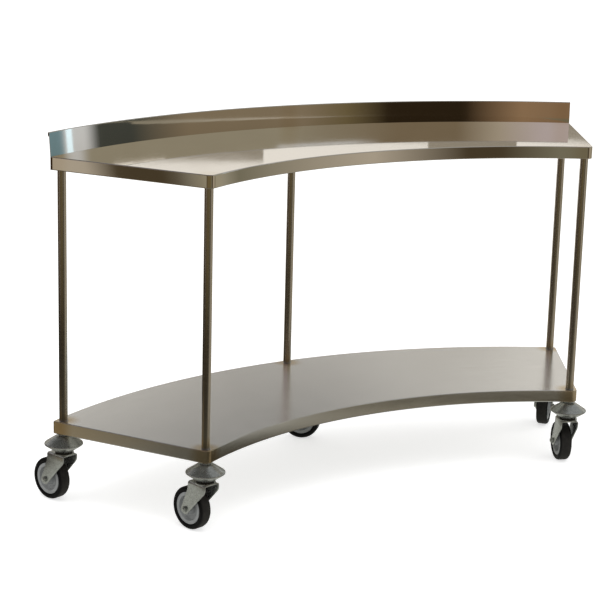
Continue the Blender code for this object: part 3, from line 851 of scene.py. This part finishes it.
# Handling marks are about 60 mm long.
marks = add("TexNoise", place, 1 / (60 * MM), 3, 0.6)
shade = add("Mix", marks, colour("#B9B1A4"), colour("#C6BFB4"), data_type="RGBA")
above = add("Math", add("SeparateXYZ", place).outputs["Z"], shelf_top, operation="SUBTRACT")
away = add("Math", above, operation="ABSOLUTE")
ring_tint = add("ValToRGB", add("MapRange", away, 0, RING_REACH))
paint_ramp(ring_tint, ((0.0, "#8C8D92"), (0.25, "#9A8A6C"), (0.6, "#B8A070")))
fade = add("MapRange", away, RING_CORE, RING_REACH, RING_SHARE, 0)
shade = add("Mix", fade, shade, ring_tint, data_type="RGBA")
rough = add("MapRange", lines, *NOISE_SPAN, 0.12, 0.20)
grain = add("Bump", {"Height": lines, "Distance": 0.003 * MM})
dress("leg_tube", material, add, {"Base Color": shade, "Metallic": 1, "Roughness": rough, "Normal": grain})

# %% [markdown]
# ## Zinc-plated steel and greased steel
# Cups, forks, bolts and nuts are pressed or turned from mild steel and plated with zinc. The plating
# is a cool grey with faint cloudy crystals and a soft, uneven gloss, and the film on it scatters part
# of the light as paint does. The ball race is bare steel under dark grease, which is nearly black and
# a little wet.

# %% Finish the castors' steel
material, add = new_material("zinc plated steel")
place = add("TexCoord").outputs["Object"]
# Plating crystals are drawn 3 mm across, a little coarser than real ones, so that they show.
crystals = add("TexVoronoi", place, 1 / (3 * MM))
crystal = add("SeparateColor", crystals.outputs["Color"])
# Clouds in the plating are about 20 mm across.
clouds = add("TexNoise", place, 1 / (20 * MM), 4, 0.65)
mixed = add("MapRange", add("Math", crystal, clouds, operation="ADD"), 0.4, 1.6)
shade = add("Mix", mixed, colour("#9C9E9A"), colour("#B6B8B4"), data_type="RGBA")
rough = add("MapRange", clouds, *NOISE_SPAN, 0.2, 0.34)
# Pressed plate has a fine skin of pits, about 1.2 mm apart.
skin = add("TexNoise", place, 1 / (1.2 * MM), 2, 0.5)
pits = add("Bump", {"Height": skin, "Distance": 0.03 * MM})
dress("zinc_steel", material, add, {"Base Color": shade, "Metallic": 0.9, "Roughness": rough, "Normal": pits})

material, add = new_material("greased hardened steel")
place = add("TexCoord").outputs["Object"]
# Grease lies in smears about 5 mm long.
smears = add("TexNoise", place, 1 / (5 * MM), 3, 0.6)
shade = add("Mix", smears, colour("#17150F"), colour("#3A3731"), data_type="RGBA")
rough = add("MapRange", smears, *NOISE_SPAN, 0.25, 0.5)
film = add("Bump", {"Height": smears, "Distance": 0.2 * MM})
dress("race_steel", material, add, {"Base Color": shade, "Metallic": 0.6, "Roughness": rough, "Normal": film})

# %% [markdown]
# ## Wheel plastic and rubber
# The wheel's centre is moulded grey nylon, with the fine spark-eroded grain of its mould. The tyre is
# black rubber: matt and soft, a little greyer on the tread, where floor dust is pressed into it.

# %% Finish the wheels
DUST_SPAN, DUST_SHARE = (0.8, 1), 0.25

material, add = new_material("moulded grey nylon")
place = add("TexCoord").outputs["Object"]
# The mould's grain is drawn 0.8 mm across, coarser than a real one, so that it shows.
grain = add("TexNoise", place, 1 / (0.8 * MM), 2, 0.5)
# Flow marks in the plastic are about 15 mm long.
flow = add("TexNoise", place, 1 / (15 * MM), 3, 0.6)
shade = add("Mix", flow, colour("#8A8C8C"), colour("#A3A5A4"), data_type="RGBA")
rough = add("MapRange", flow, *NOISE_SPAN, 0.42, 0.55)
spark = add("Bump", {"Height": grain, "Distance": 0.05 * MM})
dress("hub_plastic", material, add, {"Base Color": shade, "IOR": 1.53, "Roughness": rough, "Normal": spark})

material, add = new_material("black tyre rubber")
place = add("TexCoord").outputs["Object"]
tread = add("Attribute", attribute_name="tread").outputs["Fac"]
# Dust lies in patches about 10 mm across.
patches = add("TexNoise", place, 1 / (10 * MM), 4, 0.65)
rolled = add("MapRange", tread, *DUST_SPAN, 0, DUST_SHARE, interpolation_type="SMOOTHSTEP")
dust = add("Math", rolled, patches, operation="MULTIPLY")
shade = add("Mix", dust, colour("#0A0A0B"), colour("#6B665F"), data_type="RGBA")
rough = add("MapRange", patches, *NOISE_SPAN, 0.5, 0.72)
# Rubber has a skin of fine bumps, about 1 mm across.
skin = add("TexNoise", place, 1 / (1 * MM), 2, 0.5)
bumps = add("Bump", {"Height": skin, "Distance": 0.06 * MM})
dress("tyre_rubber", material, add, {"Base Color": shade, "IOR": 1.52, "Specular IOR Level": 0.15,
                                     "Roughness": rough, "Normal": bumps})

# %% [markdown]
# ## Floor, studio light and white background
# The object is shown on white. The floor is a matt white sheet that keeps the soft shadow. Rays that
# the camera, polished metal or glass send into the empty room find white.

# %% Build the floor, the world and the lamps
FLOOR_SIZE = 40
FLOOR_GLOW = 0.6
ROOM_LEVEL = 0.75
# Name, place, size in metres and power in watts.
LAMPS = (
    ("overhead_softbox", (-0.6, -0.6, 3.2), (3.0, 2.0), 34),
    ("right_softbox", (3.4, -0.1, 1.6), (1.0, 1.4), 12),
)
LAMP_AIM = Vector((0, 0, 0.5))


def seen_directly(add):
    """1 for rays from the camera and for rays that metal or glass has sent on, otherwise 0."""
    path = add("LightPath").outputs
    total = add("Math", path["Is Camera Ray"], path["Is Glossy Ray"], operation="MAXIMUM")
    return add("Math", total, path["Is Transmission Ray"], operation="MAXIMUM")


clear_selection()
bpy.ops.mesh.primitive_plane_add(size=FLOOR_SIZE)
floor = bpy.context.object
floor.name = "studio_floor"
floor_paint, add = new_material("matt white floor paint")
matt = add("BsdfDiffuse", colour("#E8E8E8"))
level = add("Math", seen_directly(add), FLOOR_GLOW, operation="MULTIPLY")
add("OutputMaterial", add("AddShader", matt, add("Emission", WHITE, level)))
floor.data.materials.append(floor_paint)

world = bpy.data.worlds.new("white room")
bpy.context.scene.world = world
world.use_nodes = True
world.node_tree.nodes.clear()
add = partial(add_node, world.node_tree)
room = add("Background", WHITE, ROOM_LEVEL)
white = add("Background", WHITE, 1.0)
add("OutputWorld", add("MixShader", seen_directly(add), room, white))

for name, place, size, watts in LAMPS:
    clear_selection()
    bpy.ops.object.light_add(type="AREA", location=place)
    lamp = bpy.context.object
    lamp.name = name
    lamp.data.shape = "RECTANGLE"
    lamp.data.size, lamp.data.size_y = size
    lamp.data.energy = watts
    lamp.visible_glossy = False
    lamp.rotation_mode = "QUATERNION"
    lamp.rotation_quaternion = (LAMP_AIM - Vector(place)).to_track_quat("-Z", "Y")
print("lamps", [name for name, *rest in LAMPS])

# %% [markdown]
# ## Painted reflections: a room for the metal to mirror
# Polished steel has hardly any colour of its own: it shows what stands round it. In an all-white
# studio it would vanish. Photographers put dark and coloured cards beside it, and so does this cell.
# The cards are painted reflections: they glow though they are no lamps. There is a curved screen round
# the front, painted like the walls and doors of a room, with three panes just before it that glow
# brighter as painted highlights, a far wall behind the table, a ceiling that is dark over the table's
# front left, and a cloth on the floor. Only reflections see them, so they neither light nor shade the
# object. The aprons look at the front screen's lower part, the rim at its middle, and the worktop, by
# way of the rim, at its upper part.

# %% Choose the room's colours and sizes
SCREEN_RADIUS = 3.6
SCREEN_HEIGHT = 2.4
SCREEN_SPLITS = (0.7, 1.5, 1.93)
SCREEN_STEPS = 96
SCREEN_FIRST, SCREEN_LAST = 84, 330
# Painted reflections in the plain colours of a room: a pale blue door in a white frame, a slate
# cupboard, tan and brown walls, an open doorway, pale skirting below, and one small window high up.
DOOR, FRAME, SLATE, TAN, OLIVE = "#84A8BB", "#EAF1FA", "#4C504C", "#90836E", "#776B4E"
DOORWAY, BROWN, SHADE, SKIRTING = "#302619", "#9E8265", "#5A4C40", "#B0AC9C"
PLINTH, PALE, GLOOM, LILAC = "#858271", "#C4BCAE", "#514736", "#DAD2DA"
# Compass bearings from the back of the table, clockwise seen from above, with the colour there.
MIDDLE_BANDS = (
    (84, DOOR), (98.2, DOOR), (99.4, FRAME), (104.6, FRAME), (107.8, SLATE), (116, SLATE), (128, TAN),
    (150, TAN), (157, OLIVE), (164, DOORWAY), (176, DOORWAY), (185, BROWN), (215, SHADE), (330, SHADE),
)
LOWER_BANDS = (
    (84, SKIRTING), (97, SKIRTING), (105, PLINTH), (146, PALE), (167, GLOOM), (174, GLOOM), (186, PLINTH),
    (200, OLIVE), (240, OLIVE), (261, SHADE), (264.5, SKIRTING), (267, GLOOM), (270.4, GLOOM),
    (272.4, PALE), (274.5, PALE), (277, SHADE), (330, SHADE),
)
# The two upper parts begin and end alike. Only the topmost has the small window.
HIGH_START = ((84, SKIRTING), (96.5, SKIRTING), (98.8, FRAME), (101, FRAME), (103.8, SKIRTING))
HIGH_END = ((174.5, TAN), (181, PALE), (188, LILAC), (330, LILAC))
UPPER_BANDS = (*HIGH_START, (145, SKIRTING), (165, TAN), *HIGH_END)
TOP_BANDS = (*HIGH_START, (143.5, SKIRTING), (144.5, FRAME), (157, FRAME), (162, TAN), *HIGH_END)
# Painted highlights: panes in the door and high on the wall that glow brighter than paint can be,
# though they are no lamps. Each has its first and last bearing, its lowest and highest point, its
# colour and its strength.
HIGHLIGHT_PANES = (
    (99.5, 101.1, 0.7, 1.5, "#D2ECFF", 2.0),
    (109.4, 114.2, 1.961, 2.3, "#F0F2F4", 1.8),
    (114.2, 121.5, 1.971, 2.3, "#F0F2F4", 1.8),
)
PANE_SPACE = 0.05
WALL_RADIUS = 10.0
WALL_HEIGHT = 6.0
WALL_FIRST, WALL_LAST = -30, 84
# The far wall is a painted reflection. Its grey part ends at these heights, from these bearings on. Windows
# stand above it.
WALL_STEPS = ((-30, 2.518), (28.8, 2.315), (36.5, 2.52), (40.6, 2.255))
WALL_GREY, WINDOW, WINDOW_SHADE = "#978F80", "#F9F5EE", "#83817E"
# Painted shade turns the windows grey between these heights, later at the left and less at the right, by
# bearings.
SHADE_SPAN = (2.7, 3.35)
LATER_SPAN, LATER_RISE = (17, 29), 0.8
LESS_SPAN, LESS_SHARE = (32, 43), 0.15
# The ceiling is a painted reflection: pale, with a dark sector over the table's front left.
CEILING_HEIGHT = 2.9
CEILING_REACH = 6.0
CEILING, CEILING_DARK = "#AEB0B2", "#3E3E3A"
CEILING_BANDS = ((0, CEILING), (150, CEILING), (190, CEILING_DARK), (310, CEILING_DARK), (350, CEILING),
                 (360, CEILING))
CLOTH_HEIGHT = 0.002
CLOTH_REACH = 4.8
# The cloth is a painted reflection of the floor: dark in the table's curve and far away, and pale
# under the castors, so that their zinc stays light. The spans are metres from the middle, and the
# last one metres from a leg.
CLOTH_PALE, CLOTH_DARK, CLOTH_BROWN, CLOTH_FAR = "#B2AC9E", "#5C594F", "#93856A", "#312E29"
CLOTH_MAT, CLOTH_RING, CLOTH_CASTOR = "#3E392C", "#857D6B", "#CCCCC4"
CLOTH_START = (0, CLOTH_PALE)
CLOTH_END = ((320, CLOTH_FAR), (345, CLOTH_PALE), (360, CLOTH_PALE))
NEAR_BANDS = (CLOTH_START, (165, CLOTH_PALE), (205, CLOTH_DARK), (258, CLOTH_DARK), (273, CLOTH_BROWN),
              (280, CLOTH_BROWN), (290, CLOTH_FAR), *CLOTH_END)
FAR_BANDS = (CLOTH_START, (145, CLOTH_PALE), (182, CLOTH_FAR), *CLOTH_END)
MAT_RINGS = ((0.42, CLOTH_MAT), (0.52, CLOTH_RING), (0.74, CLOTH_RING), (0.8, CLOTH_MAT))
FAR_SPAN, MAT_SPAN, CASTOR_SPAN = (1.4, 2.4), (1.02, 1.1), (0.2, 0.42)
print("screen bands", len(LOWER_BANDS), len(MIDDLE_BANDS), len(UPPER_BANDS), len(TOP_BANDS))

# %% [markdown]
# ## Set up the cards
# Each card is a line swept round the table's middle, upright for a wall and level for a ceiling. It
# glows in its own colours, though it is no lamp, so that the metal shows them as painted reflections,
# as they are written, whatever the lamps do.

# %% Set up the screens, the ceiling and the floor cloth


def bearing_ramp(add, place, bands):
    """Colours by the bearing from the table's middle, for bands that lie no more than a full turn apart."""
    first, last = bands[0][0], bands[-1][0]
    # The bearing is measured from the bands' own middle, so that it never jumps inside them.
    turned = add("Mapping", {"Vector": place, "Rotation": (0, 0, math.radians((first + last) / 2))})
    parts = add("SeparateXYZ", turned).outputs
    bearing = add("Math", parts["X"], parts["Y"], operation="ARCTAN2")
    half = math.radians(last - first) / 2
    ramp = add("ValToRGB", add("MapRange", bearing, -half, half))
    paint_ramp(ramp, [((degrees - first) / (last - first), code) for degrees, code in bands])
    return ramp


def set_card(name, points, first, last, material, add, tint, strength=1):
    """Sweeps a glowing card round the middle, a painted reflection in a colour that shows as written. Only
    mirrored rays see it.
    """
    card = sweep_section(points, math.radians(first), math.radians(last), SCREEN_STEPS, (0, 0, 0))
    add("OutputMaterial", add("Emission", tint, strength))
    card.data.materials.append(material)
    card.name = name
    card.visible_camera = card.visible_diffuse = card.visible_shadow = card.visible_transmission = False
    print("card", name)


# The room screen is a painted reflection: a glowing card that only the metal sees.
material, add = new_material("painted reflection screen")
place = add("TexCoord").outputs["Object"]
height = add("SeparateXYZ", place).outputs["Z"]
tint = bearing_ramp(add, place, LOWER_BANDS)
for split, bands in zip(SCREEN_SPLITS, (MIDDLE_BANDS, UPPER_BANDS, TOP_BANDS)):
    above = add("Math", height, split, operation="GREATER_THAN")
    tint = add("Mix", above, tint, bearing_ramp(add, place, bands), data_type="RGBA")
section = [(SCREEN_RADIUS, 0), (SCREEN_RADIUS, SCREEN_HEIGHT)]
set_card("reflection_screen", section, SCREEN_FIRST, SCREEN_LAST, material, add, tint)
# The panes glow as painted highlights, seen only in the metal.
for first, last, low, high, code, glow in HIGHLIGHT_PANES:
    section = [(SCREEN_RADIUS - PANE_SPACE, low), (SCREEN_RADIUS - PANE_SPACE, high)]
    set_card(f"highlight_pane_{first:.0f}", section, first, last, *new_material("painted highlight pane"), colour(code), glow)

material, add = new_material("painted reflection of a far wall with windows")
parts = add("SeparateXYZ", add("TexCoord").outputs["Object"]).outputs
bearing = add("Math", parts["X"], parts["Y"], operation="ARCTAN2")
edge, lower = None, 0
for start, height in WALL_STEPS:
    past = add("Math", bearing, math.radians(start), operation="GREATER_THAN")
    step = add("Math", past, height - lower, operation="MULTIPLY")
    edge = add("Math", edge, step, operation="ADD") if edge else step
    lower = height
above = add("Math", parts["Z"], edge, operation="GREATER_THAN")
# The shelf mirrors the upper part of the windows, which gets the painted shade.
later = add("MapRange", bearing, *map(math.radians, LATER_SPAN), LATER_RISE, 0)
height = add("Math", parts["Z"], later, operation="SUBTRACT")
less = add("MapRange", bearing, *map(math.radians, LESS_SPAN), 1, LESS_SHARE)
shaded = add("Math", add("MapRange", height, *SHADE_SPAN), less, operation="MULTIPLY")
window = add("Mix", shaded, colour(WINDOW), colour(WINDOW_SHADE), data_type="RGBA")
tint = add("Mix", above, colour(WALL_GREY), window, data_type="RGBA")
section = [(WALL_RADIUS, 0), (WALL_RADIUS, WALL_HEIGHT)]
set_card("reflection_wall", section, WALL_FIRST, WALL_LAST, material, add, tint)

material, add = new_material("painted reflection of a grey ceiling")
tint = bearing_ramp(add, add("TexCoord").outputs["Object"], CEILING_BANDS)
section = [(0, CEILING_HEIGHT), (CEILING_REACH, CEILING_HEIGHT)]
set_card("reflection_ceiling", section, 0, 360, material, add, tint)

material, add = new_material("painted reflection of a brown floor cloth")
place = add("TexCoord").outputs["Object"]
reach = add("VectorMath", place, operation="LENGTH")
rings = add("ValToRGB", reach)
paint_ramp(rings, MAT_RINGS)
tint = bearing_ramp(add, place, NEAR_BANDS)
for part, paint in ((add("MapRange", reach, *FAR_SPAN), bearing_ramp(add, place, FAR_BANDS)),
                    (add("MapRange", reach, *MAT_SPAN, 1, 0), rings),
                    (near_legs(add, place, *CASTOR_SPAN), colour(CLOTH_CASTOR))):
    tint = add("Mix", part, tint, paint, data_type="RGBA")
section = [(0, CLOTH_HEIGHT), (CLOTH_REACH, CLOTH_HEIGHT)]
set_card("reflection_cloth", section, 0, 360, material, add, tint)
